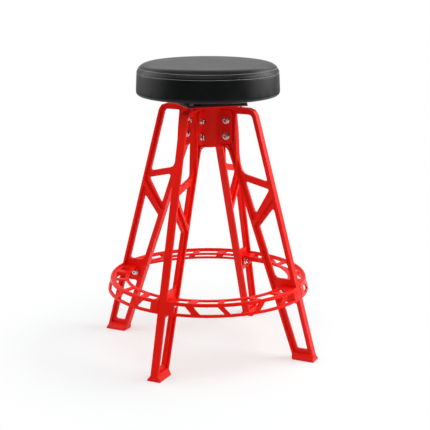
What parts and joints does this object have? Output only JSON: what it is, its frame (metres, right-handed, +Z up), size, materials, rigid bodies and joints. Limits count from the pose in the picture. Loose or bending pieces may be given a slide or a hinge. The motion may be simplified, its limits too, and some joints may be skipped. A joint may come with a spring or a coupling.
{
  "type": "swivel bar stool",
  "caption": "Backless bar stool: round padded seat on a swivel, cast lattice legs clamped at a hub, and a pierced foot ring.",
  "frame": {"origin": "on the floor, under the swivel axis", "axes": "+Z up along the swivel axis, the legs on +X, +Y, -X and -Y"},
  "size_m": [0.6214, 0.6214, 0.762],
  "materials": {
    "powder_coat": "semi-gloss powder coat",
    "chrome": "polished",
    "black_steel": "satin black",
    "bright_steel": "zinc plated",
    "vinyl": "fine-grained satin vinyl",
    "foam": "open-cell foam",
    "plywood": "raw"
  },
  "bodies": {
    "frame": {"leg_right": "powder_coat", "leg_back": "powder_coat", "leg_left": "powder_coat", "leg_front": "powder_coat", "hub_bracket_back_right": "powder_coat", "hub_bracket_back_left": "powder_coat", "hub_bracket_front_left": "powder_coat", "hub_bracket_front_right": "powder_coat", "foot_ring_back_right": "powder_coat", "foot_ring_back_left": "powder_coat", "foot_ring_front_left": "powder_coat", "foot_ring_front_right": "powder_coat", "top_plate": "powder_coat", "hub_bolt_right_upper": "chrome", "hub_bolt_right_lower": "chrome", "hub_bolt_back_upper": "chrome", "hub_bolt_back_lower": "chrome", "hub_bolt_left_upper": "chrome", "hub_bolt_left_lower": "chrome", "hub_bolt_front_upper": "chrome", "hub_bolt_front_lower": "chrome", "hub_nut_right_upper": "chrome", "hub_nut_right_lower": "chrome", "hub_nut_back_upper": "chrome", "hub_nut_back_lower": "chrome", "hub_nut_left_upper": "chrome", "hub_nut_left_lower": "chrome", "hub_nut_front_upper": "chrome", "hub_nut_front_lower": "chrome", "ring_bolt_right": "chrome", "ring_bolt_back": "chrome", "ring_bolt_left": "chrome", "ring_bolt_front": "chrome", "ring_nut_right": "chrome", "ring_nut_back": "chrome", "ring_nut_left": "chrome", "ring_nut_front": "chrome", "swivel_lower_plate": "black_steel", "swivel_screw_right": "bright_steel", "swivel_screw_back": "bright_steel", "swivel_screw_left": "bright_steel", "swivel_screw_front": "bright_steel"},
    "ball_cage": {"swivel_ball_cage": "bright_steel"},
    "seat": {"swivel_upper_plate": "black_steel", "swivel_rivet": "bright_steel", "seat_screw_right": "bright_steel", "seat_screw_back": "bright_steel", "seat_screw_left": "bright_steel", "seat_screw_front": "bright_steel", "seat_board": "plywood", "seat_foam": "foam", "seat_cover": "vinyl"}
  },
  "joints": [
    {"name": "seat_swivel", "type": "hinge", "parent": "frame", "child": "seat", "pos_m": [0, 0, 0.6688], "axis": [0, 0, 1], "continuous": true},
    {"name": "cage_roll", "type": "hinge", "parent": "frame", "child": "ball_cage", "pos_m": [0, 0, 0.6688], "axis": [0, 0, 1], "continuous": true}
  ],
  "couplings": [
    {"joint": "cage_roll", "follows": "seat_swivel", "ratio": 0.5}
  ]
}
